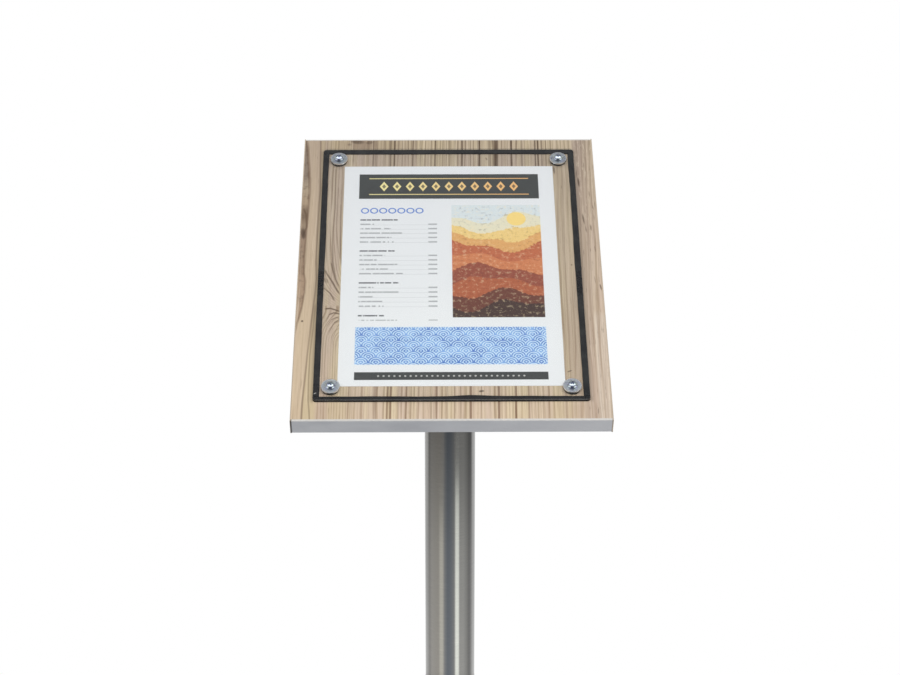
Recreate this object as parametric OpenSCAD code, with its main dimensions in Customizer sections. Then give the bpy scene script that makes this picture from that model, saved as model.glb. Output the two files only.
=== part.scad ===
// Information display stand: a tilted board for one A4 sheet on a round post.
// Millimetres, +Z up. The origin lies on the floor, on the axis of the post.
// The board looks towards -Y, and +X is to the right of a person who reads it.

/* [Board] */
// Width of the board, edging included
board_w = 294; // [285:1:340]
// Length of the board along its slope, edging included
board_h = 380; // [370:1:420]
// Thickness of the board, both laminates included
board_t = 17; // [16:1:25]
// Tilt of the board above the horizontal, in degrees
board_tilt = 30; // [15:1:45]
// Height of the centre of the board's face above the floor
face_z = 1100; // [900:10:1250]
// Thickness of the decor laminate on the face and of the backing laminate
laminate_t = 0.8; // [0.6:0.1:1.5]
// Thickness of the edging on the front and the back
band_t = 2; // [1.5:0.1:3]
// Radius along the two outer edges of the front and back edging
band_round = 1.2; // [0.5:0.1:1.4]
// Thickness of the edging on the left and right sides
side_band_t = 1; // [0.8:0.1:2]
// Radius along the two outer edges of the side edging
side_band_round = 0.4; // [0.2:0.1:0.7]

/* [Menu sheet] */
// Width of the sheet
sheet_w = 210; // [148:1:230]
// Length of the sheet
sheet_h = 297; // [210:1:315]
// Thickness of the laminated sheet
sheet_t = 0.3; // [0.1:0.1:0.6]

/* [Seal] */
// Width of the rubber strip under the rim of the cover
seal_w = 6; // [4:0.5:9]
// Height of the rubber strip, which is the gap between board and cover
seal_h = 1.5; // [1:0.1:4]

/* [Clear cover] */
// Thickness of the clear cover
cover_t = 1.5; // [1:0.5:5]
// Radius of the cover's corners
cover_round = 3; // [1:0.5:8]
// Distance of the cover's edges from the centres of its screws
cover_rim = 16; // [15:0.5:20]
// How far the screws' centres lie outside the sheet's side edges
screw_beside = 6; // [6:0.5:12]
// How far the upper screws' centres lie above the sheet's upper edge
screw_above = 8; // [3:0.5:10]
// How far the lower screws' centres lie below the sheet's lower edge
screw_below = 3; // [3:0.5:10]

/* [Cover screws] */
// Thread diameter of the cover screws
screw_d = 5; // [4:0.5:6]
// Length of a cover screw under its head
screw_l = 16; // [14:1:17]
// Diameter of the pan head
screw_head_d = 9.5; // [8:0.1:12]
// Height of the pan head
screw_head_h = 3.7; // [3.1:0.1:4.6]
// Height of the head's straight side below its dome
screw_side_h = 1.4; // [1:0.2:2.2]
// Width of the cross recess over its wings
recess_w = 5; // [4:0.2:6]
// Thickness of a wing of the cross recess
recess_wing = 1.4; // [0.9:0.1:1.8]
// Depth of the cross recess
recess_depth = 2.5; // [2:0.1:2.8]
// Turn of each recess: top left, top right, bottom left, bottom right
recess_turn = [4, -3, 27, 33]; // [-45:1:45]
// Outer diameter of the broad steel washer
washer_d = 17; // [14:0.5:20]
// Thickness of the broad steel washer
washer_t = 1.2; // [1:0.1:2.5]
// Outer diameter of the rubber spacer round each screw
spacer_d = 12; // [8.5:0.5:12]
// Outer diameter of the threaded insert
insert_d = 8; // [7.5:0.5:11]
// Length of the threaded insert
insert_l = 13; // [8:1:14]
// Chamfer at both ends of the threaded insert
insert_chamfer = 0.6; // [0.2:0.1:1]

/* [Post] */
// Outer diameter of the post
tube_d = 50; // [38:0.1:60.3]
// Wall of the post
tube_wall = 2; // [1.5:0.1:3]
// Length of the plug in the foot of the post
plug_l = 30; // [28:1:60]
// Chamfer round the upper end of the plug
plug_chamfer = 2; // [0.5:0.5:4]

/* [Head] */
// Width and length of the plate that carries the board
plate_w = 140; // [130:1:200]
// Thickness of the plate
plate_t = 4; // [3:0.5:6]
// Radius of the plate's corners
plate_round = 12; // [4:1:20]
// Distance of each board screw from the plate's two nearest edges
plate_inset = 15; // [12:1:18]
// Leg of the weld bead between post and plate
weld_leg = 4; // [3:0.5:6]
// Share of the leg by which the weld's ripples swell
weld_swell = 0.06; // [0:0.01:0.12]
// Number of ripples round the weld
weld_ripples = 24; // [12:1:36]
// Diameter of the board screws
board_screw_d = 5; // [4:0.5:5]
// Length of a board screw under its head
board_screw_l = 16; // [12:1:18]
// Diameter of the board screw's pan head
board_screw_head_d = 9.6; // [8:0.2:11]
// Height of the board screw's pan head
board_screw_head_h = 3.2; // [2.8:0.1:4]

/* [Base] */
// Diameter of the base plate
base_d = 400; // [350:5:500]
// Thickness of the base plate
base_t = 10; // [8:1:15]
// Radius round the upper edge of the base plate
base_round = 3; // [1:0.5:6]
// Diameter of a floor pad
pad_d = 30; // [20:1:45]
// Thickness of a floor pad
pad_t = 5; // [3:0.5:8]
// Chamfer round the lower face of a floor pad
pad_chamfer = 1; // [0.5:0.5:2]
// Distance of each pad's centre from the rim of the base plate
pad_inset = 32; // [26:1:60]
// Number of floor pads
pad_count = 4; // [3:1:8]
// Thread diameter of the bolt that holds the post on the base
bolt_d = 12; // [10:1:14]
// Length of the bolt, head included
bolt_l = 34; // [28:1:36]
// Diameter of the bolt's countersunk head
bolt_head_d = 24; // [20:1:26]
// Hexagon socket of the bolt, across its flats
bolt_socket = 8; // [6:1:10]
// Depth of the bolt's socket
bolt_socket_depth = 4; // [3:0.5:5]

/* [Fits] */
// Gap round a part that is fitted into its bore
fit_gap = 0.05; // [0.02:0.01:0.1]
// Gap round a screw in a clearance hole
hole_gap = 0.25; // [0.15:0.05:0.4]
// Free depth of a blind bore beyond what it holds
bore_spare = 1; // [0.5:0.1:1.5]

/* [Hidden] */
$fn = 96;

// Overrun of a cut past the faces that it opens
cut = 1;

// Board: what lies inside the edging
core_w = board_w - 2 * side_band_t;
core_h = board_h - 2 * band_t;
core_t = board_t - 2 * laminate_t;

// Cover stack: heights above the board's face
cover_top = seal_h + cover_t;
washer_top = cover_top + washer_t;

// Cover: its screws stand outside the sheet's corners, and it reaches out beyond them
screw_x = sheet_w / 2 + screw_beside;
screw_y = (sheet_h + screw_above + screw_below) / 2;
cover_rise = (screw_above - screw_below) / 2;
cover_w = 2 * (screw_x + cover_rim);
cover_h = 2 * (screw_y + cover_rim);

// Cover screws: their shank and bores
thread_r = screw_d / 2 - fit_gap;
clear_r = screw_d / 2 + hole_gap;
insert_bore_r = insert_d / 2 + fit_gap;

// Head: how far below the board's face the plate's underside lies, and the board screws' centres
head_depth = board_t + plate_t;
plate_hole = plate_w / 2 - plate_inset;
board_screw_reach = board_screw_l - plate_t;

// Post and base: levels above the floor
base_top = pad_t + base_t;
tube_r = tube_d / 2;
plug_r = tube_r - tube_wall - fit_gap;
bolt_head_h = (bolt_head_d - bolt_d) / 2;
pad_ring_r = base_d / 2 - pad_inset;

// Weld bead: steps round the post, and how deep its blank reaches into the tube wall
weld_steps = 3 * weld_ripples;
weld_root = tube_wall / 2;

// Places children on the board: X across, Y up the slope, Z out of the face
module on_board() {
    translate([0, 0, face_z]) rotate([board_tilt, 0, 0]) children();
}

// Puts children at the cover screw that the signs name, on the board's face
module at_cover_screw(sx, sy) {
    translate([sx * screw_x, cover_rise + sy * screw_y, 0]) children();
}

// Repeats children at the four cover screws
module at_cover_screws() {
    for (sx = [-1, 1], sy = [-1, 1]) at_cover_screw(sx, sy) children();
}

// Repeats children at the four screws of the head plate
module at_board_screws() {
    for (sx = [-1, 1], sy = [-1, 1]) translate([sx * plate_hole, sy * plate_hole, 0]) children();
}

// Outline with round corners
module rounded_outline(w, h, r) {
    square([w - 2 * r, h], center = true);
    square([w, h - 2 * r], center = true);
    for (sx = [-1, 1], sy = [-1, 1]) translate([sx * (w / 2 - r), sy * (h / 2 - r)]) circle(r);
}

// Flat panel that stands on z = 0
module panel(w, h, t) {
    translate([-w / 2, -h / 2, 0]) cube([w, h, t]);
}

// Flat ring that stands on z = 0
module ring(r, hole_r, t) {
    difference() {
        cylinder(r = r, h = t);
        translate([0, 0, -cut]) cylinder(r = hole_r, h = t + 2 * cut);
    }
}

// Cross recess, sunk from z = 0: two crossed wings whose ends taper to a blunt point
module cross_recess(w, wing, depth) {
    intersection() {
        translate([0, 0, -depth]) cylinder(r1 = wing / 2, r2 = w / 2, h = depth + cut);
        for (a = [0, 90]) rotate(a) translate([-w, -wing / 2, -depth]) cube([2 * w, wing, depth + cut]);
    }
}

// Domed pan head that stands on z = 0
module pan_head(d, h, side_h, w, wing, depth) {
    dome_h = h - side_h;
    dome_r = (pow(d / 2, 2) + pow(dome_h, 2)) / (2 * dome_h);
    difference() {
        intersection() {
            cylinder(d = d, h = h);
            translate([0, 0, h - dome_r]) sphere(dome_r);
        }
        translate([0, 0, h - dome_h / 4]) cross_recess(w, wing, depth);
    }
}

// Screw whose head stands on z = 0 and whose shank ends in a short lead chamfer
module pan_screw(shank_r, l, head_d, head_h, side_h, w, wing, depth) {
    lead = shank_r / 4;
    pan_head(head_d, head_h, side_h, w, wing, depth);
    translate([0, 0, lead - l]) cylinder(r = shank_r, h = l - lead);
    translate([0, 0, -l]) cylinder(r1 = shank_r - lead, r2 = shank_r, h = lead);
}

// Quarter of a disc, between +X and +Y
module quarter_disc(r) {
    intersection() {
        circle(r);
        square(r);
    }
}

// One length of edging along X, t thick: its back lies on y = 0 and its two outer edges have radius r
module edge_band(l, t, r) {
    rotate([90, 0, 90]) linear_extrude(l, center = true) {
        square([t - r, board_t]);
        translate([0, r]) square([t, board_t - 2 * r]);
        translate([t - r, board_t - r]) quarter_disc(r);
        translate([t - r, r]) mirror([0, 1]) quarter_disc(r);
    }
}

// Front or back edging, between the side bands; angle a turns it to its side of the board
module band_across(a) {
    color("silver") on_board() rotate(a) translate([0, core_h / 2, -board_t])
        edge_band(core_w, band_t, band_round);
}

// Left or right edging, over the full length of the board
module band_along(a) {
    color("#a8977f") on_board() rotate(a) translate([0, core_w / 2, -board_t])
        edge_band(board_h, side_band_t, side_band_round);
}

// Strip of seal along the upper or lower rim, trimmed to the cover's round corners
module seal_across(sy) {
    color("#2b2b2e") on_board() translate([0, cover_rise, 0]) linear_extrude(seal_h) intersection() {
        rounded_outline(cover_w, cover_h, cover_round);
        translate([0, sy * (cover_h - seal_w) / 2]) square([cover_w, seal_w], center = true);
    }
}

// Strip of seal along the left or right rim, butted between the other two
module seal_along(sx) {
    color("#2b2b2e") on_board() translate([sx * (cover_w - seal_w) / 2, cover_rise, 0])
        panel(seal_w, cover_h - 2 * seal_w, seal_h);
}

// One cover screw, its thread in the insert and its head on the washer
module cover_screw(sx, sy, turn) {
    color("#c8ccd0") on_board() at_cover_screw(sx, sy) translate([0, 0, washer_top]) rotate(turn)
        pan_screw(thread_r, screw_l, screw_head_d, screw_head_h, screw_side_h,
            recess_w, recess_wing, recess_depth);
}

// Height at which the underside of the head plate passes over depth y
function seat_z(y) = face_z + (y * sin(board_tilt) - head_depth) / cos(board_tilt);

// Point of the weld at angle a round the post, at radius r and a drop below the plate
function weld_point(a, r, drop) = [r * cos(a), r * sin(a), seat_z(r * sin(a)) - drop];

// Section of the weld at angle a: root at the plate, toe on the plate, crown, toe on the tube, root in the wall
function weld_section(a) =
    let (leg = weld_leg * (1 + weld_swell * cos(a * weld_ripples)))
    [
        weld_point(a, tube_r - weld_root, 0),
        weld_point(a, tube_r + leg, 0),
        weld_point(a, tube_r + 0.66 * leg, 0.5 * leg),
        weld_point(a, tube_r + 0.28 * leg, 0.85 * leg),
        weld_point(a, tube_r - weld_root, 1.1 * leg)
    ];

module base_plate() {
    color("#b4b7ba") difference() {
        translate([0, 0, pad_t]) rotate_extrude() {
            square([base_d / 2, base_t - base_round]);
            square([base_d / 2 - base_round, base_t]);
            translate([base_d / 2 - base_round, base_t - base_round]) quarter_disc(base_round);
        }
        translate([0, 0, pad_t - cut]) cylinder(r = bolt_d / 2 + hole_gap, h = base_t + 2 * cut);
        translate([0, 0, pad_t]) cylinder(
            r1 = bolt_head_d / 2 + hole_gap, r2 = bolt_d / 2 + hole_gap, h = bolt_head_h);
    }
}

module base_pads() {
    color("#2b2b2e") for (i = [0:pad_count - 1]) rotate((i + 0.5) * 360 / pad_count)
        translate([pad_ring_r, 0, 0]) {
            cylinder(r1 = pad_d / 2 - pad_chamfer, r2 = pad_d / 2, h = pad_chamfer);
            translate([0, 0, pad_chamfer]) cylinder(d = pad_d, h = pad_t - pad_chamfer);
        }
}

module post_bolt() {
    color("#9a9da0") difference() {
        translate([0, 0, pad_t]) union() {
            cylinder(d1 = bolt_head_d, d2 = bolt_d - 2 * fit_gap, h = bolt_head_h);
            cylinder(r = bolt_d / 2 - fit_gap, h = bolt_l);
        }
        translate([0, 0, pad_t - cut]) cylinder(
            d = bolt_socket / cos(30), h = bolt_socket_depth + cut, $fn = 6);
    }
}

module foot_plug() {
    color("#9a9da0") translate([0, 0, base_top]) difference() {
        union() {
            cylinder(r = plug_r, h = plug_l - plug_chamfer);
            translate([0, 0, plug_l - plug_chamfer])
                cylinder(r1 = plug_r, r2 = plug_r - plug_chamfer, h = plug_chamfer);
        }
        translate([0, 0, -cut]) cylinder(r = bolt_d / 2, h = bolt_l - base_t + bore_spare + cut);
    }
}

module post_tube() {
    color("#b4b7ba") difference() {
        translate([0, 0, base_top]) ring(tube_r, tube_r - tube_wall, face_z - base_top);
        on_board() translate([0, 0, -head_depth]) panel(4 * tube_d, 4 * tube_d, 4 * tube_d);
    }
}

module head_plate() {
    color("#b4b7ba") on_board() translate([0, 0, -head_depth]) difference() {
        linear_extrude(plate_t) rounded_outline(plate_w, plate_w, plate_round);
        at_board_screws() translate([0, 0, -cut])
            cylinder(r = board_screw_d / 2 + hole_gap, h = plate_t + 2 * cut);
    }
}

module head_weld() {
    sections = [for (i = [0:weld_steps - 1]) weld_section(i * 360 / weld_steps)];
    sides = len(sections[0]);
    color("#a2a5a8") difference() {
        polyhedron(
            points = [for (s = sections) each s],
            faces = [
                for (i = [0:weld_steps - 1], k = [0:sides - 1])
                let (
                    here = i * sides,
                    next = (i + 1) % weld_steps * sides,
                    up = (k + 1) % sides
                )
                each [[here + k, next + k, next + up], [here + k, next + up, here + up]]
            ]
        );
        translate([0, 0, base_top]) cylinder(r = tube_r, h = face_z - base_top);
    }
}

module board_screws() {
    color("#c8ccd0") on_board() translate([0, 0, -head_depth]) at_board_screws() rotate([180, 0, 0])
        pan_screw(board_screw_d / 2 - fit_gap, board_screw_l, board_screw_head_d, board_screw_head_h,
            board_screw_head_h / 3, board_screw_d, board_screw_d / 4, board_screw_head_h / 2);
}

module panel_core() {
    color("#c9a877") on_board() difference() {
        translate([0, 0, laminate_t - board_t]) panel(core_w, core_h, core_t);
        at_cover_screws() translate([0, 0, -insert_l])
            cylinder(r = insert_bore_r, h = insert_l + cut);
        at_cover_screws() translate([0, 0, washer_top - screw_l - bore_spare])
            cylinder(r = screw_d / 2, h = screw_l);
        at_board_screws() translate([0, 0, -board_t - cut])
            cylinder(d = board_screw_d, h = board_screw_reach + bore_spare + cut);
    }
}

module face_laminate() {
    color("#cbb696") on_board() difference() {
        translate([0, 0, -laminate_t]) panel(core_w, core_h, laminate_t);
        at_cover_screws() translate([0, 0, -laminate_t - cut])
            cylinder(r = insert_bore_r, h = laminate_t + 2 * cut);
    }
}

module back_laminate() {
    color("#c8c5be") on_board() translate([0, 0, -board_t]) difference() {
        panel(core_w, core_h, laminate_t);
        at_board_screws() translate([0, 0, -cut]) cylinder(d = board_screw_d, h = laminate_t + 2 * cut);
    }
}

module edge_band_front() {
    band_across(180);
}

module edge_band_back() {
    band_across(0);
}

module edge_band_left() {
    band_along(90);
}

module edge_band_right() {
    band_along(270);
}

module threaded_inserts() {
    color("#c9a14a") on_board() at_cover_screws() translate([0, 0, -insert_l]) rotate_extrude() polygon([
        [screw_d / 2, 0],
        [insert_d / 2 - insert_chamfer, 0],
        [insert_d / 2, insert_chamfer],
        [insert_d / 2, insert_l - insert_chamfer],
        [insert_d / 2 - insert_chamfer, insert_l],
        [screw_d / 2, insert_l]
    ]);
}

module menu_sheet() {
    color("#eef0f2") on_board() panel(sheet_w, sheet_h, sheet_t);
}

module seal_top() {
    seal_across(1);
}

module seal_bottom() {
    seal_across(-1);
}

module seal_left() {
    seal_along(-1);
}

module seal_right() {
    seal_along(1);
}

module clear_cover() {
    color("#d5e2e8", 0.35) on_board() translate([0, 0, seal_h]) difference() {
        translate([0, cover_rise, 0]) linear_extrude(cover_t) rounded_outline(cover_w, cover_h, cover_round);
        at_cover_screws() translate([0, 0, -cut]) cylinder(r = clear_r, h = cover_t + 2 * cut);
    }
}

module spacer_washers() {
    color("#2b2b2e") on_board() at_cover_screws() ring(spacer_d / 2, screw_d / 2, seal_h);
}

module cover_washers() {
    color("#aeb2b6") on_board() translate([0, 0, cover_top]) at_cover_screws()
        ring(washer_d / 2, clear_r, washer_t);
}

base_plate();
base_pads();
post_bolt();
foot_plug();
post_tube();
head_plate();
head_weld();
board_screws();
panel_core();
face_laminate();
back_laminate();
edge_band_front();
edge_band_back();
edge_band_left();
edge_band_right();
threaded_inserts();
menu_sheet();
seal_top();
seal_bottom();
seal_left();
seal_right();
clear_cover();
spacer_washers();
cover_washers();
cover_screw(-1, 1, recess_turn[0]);  // cover_screw_top_left
cover_screw(1, 1, recess_turn[1]);  // cover_screw_top_right
cover_screw(-1, -1, recess_turn[2]);  // cover_screw_bottom_left
cover_screw(1, -1, recess_turn[3]);  // cover_screw_bottom_right
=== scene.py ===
"""Looks of the information display stand: finishes, hand-laid seal, studio and camera."""

import math
from functools import reduce

import bmesh
import bpy
from mathutils import Matrix, Vector


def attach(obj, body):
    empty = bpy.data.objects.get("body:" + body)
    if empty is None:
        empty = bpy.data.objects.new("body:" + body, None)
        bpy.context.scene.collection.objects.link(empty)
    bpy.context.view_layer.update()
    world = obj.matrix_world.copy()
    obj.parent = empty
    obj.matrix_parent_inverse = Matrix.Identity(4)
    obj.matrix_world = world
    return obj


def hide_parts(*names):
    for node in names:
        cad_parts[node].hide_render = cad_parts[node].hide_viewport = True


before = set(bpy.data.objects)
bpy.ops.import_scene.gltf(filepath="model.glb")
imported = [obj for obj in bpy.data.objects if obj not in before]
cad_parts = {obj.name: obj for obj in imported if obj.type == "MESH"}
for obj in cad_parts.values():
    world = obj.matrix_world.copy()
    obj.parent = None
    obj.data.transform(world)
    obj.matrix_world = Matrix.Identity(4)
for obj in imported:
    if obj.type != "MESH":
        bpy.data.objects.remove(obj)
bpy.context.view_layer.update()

MM = 0.001

# Board, as in the CAD: centre of its face, tilt, and sizes that the finishes follow
BOARD_CENTRE = Vector((0, 0, 1.1))
BOARD_TILT = math.radians(30)
BOARD_W = 294 * MM
BOARD_T = 17 * MM
SIDE_BAND_T = 1 * MM
COVER_W = 254 * MM
COVER_H = 340 * MM
COVER_RISE = 2.5 * MM
COVER_ROUND = 3 * MM
SEAL_W = 6 * MM
SEAL_H = 1.5 * MM

# Cover screws, in millimetres: places from the middle of the cover, and sizes
SCREW_U, SCREW_V = 111, 154
# Radius of the near-black disc on the wood round each cover screw
SCREW_DISC_R = 7.6
WASHER_R = 8.5
HEAD_R = 4.75
HEAD_TOP = 7.9
DOME_R = 6.05

# Top of the base plate over the floor
BASE_TOP = 15 * MM

WHITE = (1, 1, 1, 1)
STEEL = (0.5, 0.5, 0.495, 1)
ACRYLIC_IOR = 1.49

# Wood print of the face. Places are in millimetres on the board: u across it, v up its slope.
# Lean of the grain, and the middle of the knot that the sheet hides
GRAIN_LEAN = 0.014
KNOT_U, KNOT_V = -102, -50
# Share of fresh tones, from the low edge up
FRESH = ((-190, 1), (-60, 0.66), (60, 0.34), (190, 0))
# Corners of a grain line's profile, in half widths from its middle
LINE_CORNERS = (-1.5, -0.6, 0.6, 1.3)
LINE_CURVES = 4
# Dark grain lines above and below the sheet: place across the board, half width, depth of tone
TOP_LINES = (
    (-122.1, 0.7, 0.4), (-115.2, 0.6, 0.45), (-110.3, 0.6, 0.35), (-76.2, 0.7, 0.65), (-74.1, 0.6, 0.45),
    (-65.4, 0.6, 0.4), (-58.6, 0.9, 0.7), (-54.6, 0.8, 0.95), (-46.8, 0.5, 0.3), (-36.1, 0.7, 0.8),
    (-28.6, 0.5, 0.4), (-23.5, 0.5, 0.35), (-17.5, 0.6, 0.5), (-13.5, 0.8, 0.85), (-5.8, 0.6, 0.45),
    (-2, 0.5, 0.35), (1.1, 0.5, 0.3), (9.5, 0.6, 0.5), (13.9, 0.8, 0.85), (22.6, 0.6, 0.45),
    (31.5, 1.1, 1), (42, 1.4, 0.55), (48.3, 2.1, 1), (64.3, 1, 1), (75, 0.7, 0.6),
    (88.6, 0.7, 0.85), (91.2, 0.7, 0.9), (95, 0.7, 0.75), (99.5, 0.6, 0.6), (104, 0.6, 0.55),
)
LOW_LINES = (
    (-118.1, 0.6, 0.35), (-94.3, 0.6, 0.4), (-83, 0.5, 0.35), (-69.8, 1.6, 0.55), (-62.1, 0.6, 0.5),
    (-58.6, 0.8, 0.8), (-55.8, 0.9, 0.9), (-48.6, 0.7, 0.55), (-41.5, 0.8, 0.8), (-37.2, 0.6, 0.5),
    (-30.6, 0.6, 0.45), (-25.9, 0.6, 0.4), (-18.7, 0.7, 0.6), (-13.9, 0.8, 0.7), (-8.8, 0.6, 0.5),
    (-3.9, 0.6, 0.5), (2.5, 0.7, 0.6), (8.3, 0.6, 0.5), (13.1, 0.6, 0.45), (17.3, 0.9, 0.85),
    (27.4, 0.7, 0.4), (39.2, 0.6, 0.55), (43, 1.1, 0.95), (58.8, 1, 0.95), (70.6, 0.8, 0.6),
    (78.7, 0.6, 0.4), (83.5, 0.5, 0.35), (89.2, 0.5, 0.35), (94, 0.5, 0.35), (104.5, 0.6, 0.35),
)
# Lines at the sides: half width, depth of tone, then a path of (v, u) upwards
SIDE_LINES = (
    (0.8, 0.6, ((-195, -136.7), (-166, -136.4), (-128, -134.6), (-91, -132.9), (-60, -131.3), (-28, -129.2),
                 (-9, -128.6), (14, -129.8), (60, -129.9), (115, -129), (200, -130.9))),
    (0.6, 0.5, ((-195, -128.6), (-165, -131.2), (-140, -131.6), (-109, -131.3), (-77, -129.6),
                 (-42, -128.8))),
    (0.6, 0.55, ((-11, -109.3), (-2, -111.3), (14, -113.7), (34, -114.6), (54, -114.3), (88, -113.4),
                 (148, -114))),
    (0.5, 0.45, ((7, -105.1), (27, -106.5), (74, -107.8), (95, -107.8))),
    (0.5, 0.4, ((14, -106.1), (28, -108.4), (47, -110.3), (67, -111.4), (120, -110.6))),
    (0.9, 0.85, ((46, -144.6), (54, -142.6), (61, -140.5), (70, -140.9), (79, -141.6), (89, -144.9))),
    (0.9, 0.85, ((-32, -104.9), (-25.2, -108.3), (-14.8, -112.8), (-2.7, -119), (4, -121.5))),
    (0.7, 0.7, ((-22.1, -105.7), (-11.8, -109.7), (1.7, -113.2), (14, -115.5))),
    (0.8, 0.75, ((-39.8, -110), (-29.6, -114.5), (-23.6, -120), (-20, -122))),
)
# Arches below the hidden knot: half width, depth of tone, then (u, v) from left to right
ARCH_LINES = (
    (0.9, 0.95, ((-120, -50.5), (-119.2, -50), (-114, -49.2), (-105.3, -53), (-104, -54))),
    (0.9, 0.9, ((-118.4, -70), (-116.6, -62.9), (-114.7, -57.2), (-110.6, -55), (-104.8, -56.5),
                 (-103.5, -57.4))),
    (0.7, 0.7, ((-118.6, -82), (-116.9, -72.7), (-112.6, -64), (-108.1, -61), (-103.7, -62.7))),
    (0.8, 0.8, ((-116, -88), (-114, -78.9), (-109.8, -67.8), (-105.4, -64), (-103.7, -64.6))),
    (0.7, 0.7, ((-111.6, -95), (-110.2, -86.2), (-107, -73.9), (-104, -67.8))),
    (0.7, 0.65, ((-107.6, -99), (-106.5, -91.1), (-104.1, -78.9))),
)
# Ragged inner border of the waney strip at the left edge: (v, u) upwards
WANE_BORDER = (
    (-88, -147.5), (-77, -145.9), (-69, -145.2), (-61, -143.4), (-51, -141.7), (-40, -140.5), (-28, -139.4),
    (-13, -139.4), (-1, -140.9), (19, -141.3), (43, -140.8), (61, -140.5), (77, -139.7), (109, -139.5),
    (130, -140), (147, -141.2), (159, -142.3), (175, -143.2), (190, -145.5),
)
# Tones of the bark on that strip, from BARK_LOW (0) up to BARK_HIGH (1)
BARK_LOW, BARK_HIGH = -90, 190
BARK = (
    (0, (164, 140, 116)), (0.29, (158, 134, 112)), (0.32, (142, 119, 98)), (0.48, (142, 120, 102)),
    (0.51, (118, 100, 86)), (0.55, (144, 126, 106)), (0.59, (114, 94, 76)), (0.63, (118, 100, 82)),
    (0.66, (164, 144, 120)), (0.74, (166, 150, 128)), (0.8, (130, 116, 104)), (1, (126, 112, 100)),
)
# Knots, nail hole and checks of the print: centre, half sizes, turn in degrees, depth of tone
GRAIN_MARKS = (
    (-93.5, 186.5, 8.5, 4.2, -12, 0.85), (-80.5, 185, 4.5, 3, 15, 0.7),
    (-101, 182, 2.5, 2, 30, 0.6), (-140.4, -65.8, 1.3, 1.6, 0, 1), (-143.4, 52, 2.5, 9, 5, 0.95),
    (-119.6, -12, 2.6, 5, 30, 0.45), (27.5, -154.7, 3, 1.6, 10, 1), (130.4, 125, 1.2, 8, 3, 1),
    (128.9, 138, 0.7, 6, -4, 0.6), (132.7, 71.6, 1, 8.5, 5, 0.9), (134.6, 57, 0.7, 5, 8, 0.6),
    (144.6, -22, 0.9, 5, 8, 0.85), (109.5, -130.4, 3, 0.9, 25, 0.85), (118, 8, 1, 1.3, 0, 0.7),
    (139, 60, 0.7, 5, 4, 0.6), (106.6, 143, 1.3, 7, 2, 0.75), (140.5, 108, 0.6, 5, 3, 0.55),
    (143, 88, 0.6, 4, 6, 0.6), (137, 150, 0.6, 5, 2, 0.5), (141.8, 30, 0.6, 5, 4, 0.5),
    (139.6, -12, 0.5, 6, 4, 0.5), (113, 118, 0.7, 2, 0, 0.5), (38.5, 160, 1.2, 2.5, 20, 0.6),
)
# Darker wood round the knots at the top
KNOT_HALO = (-89, 182, 17, 11, 0, 0.55)


def linear(value):
    """Linear value of a display value."""
    return value / 12.92 if value <= 0.04045 else ((value + 0.055) / 1.055) ** 2.4


def tone(r, g, b):
    """Linear colour of an 8-bit display colour."""
    return (linear(r / 255), linear(g / 255), linear(b / 255), 1)


def operation(kind, swapped=False):
    """Method of a wire for one kind of arithmetic."""
    def method(self, other):
        return self.graph.math(kind, other, self) if swapped else self.graph.math(kind, self, other)
    return method


class Wire:
    """Output socket of a node graph that takes part in arithmetic."""

    def __init__(self, graph, socket):
        self.graph = graph
        self.socket = socket

    __add__ = __radd__ = operation("ADD")
    __sub__ = operation("SUBTRACT")
    __rsub__ = operation("SUBTRACT", swapped=True)
    __mul__ = __rmul__ = operation("MULTIPLY")
    __truediv__ = operation("DIVIDE")


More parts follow.
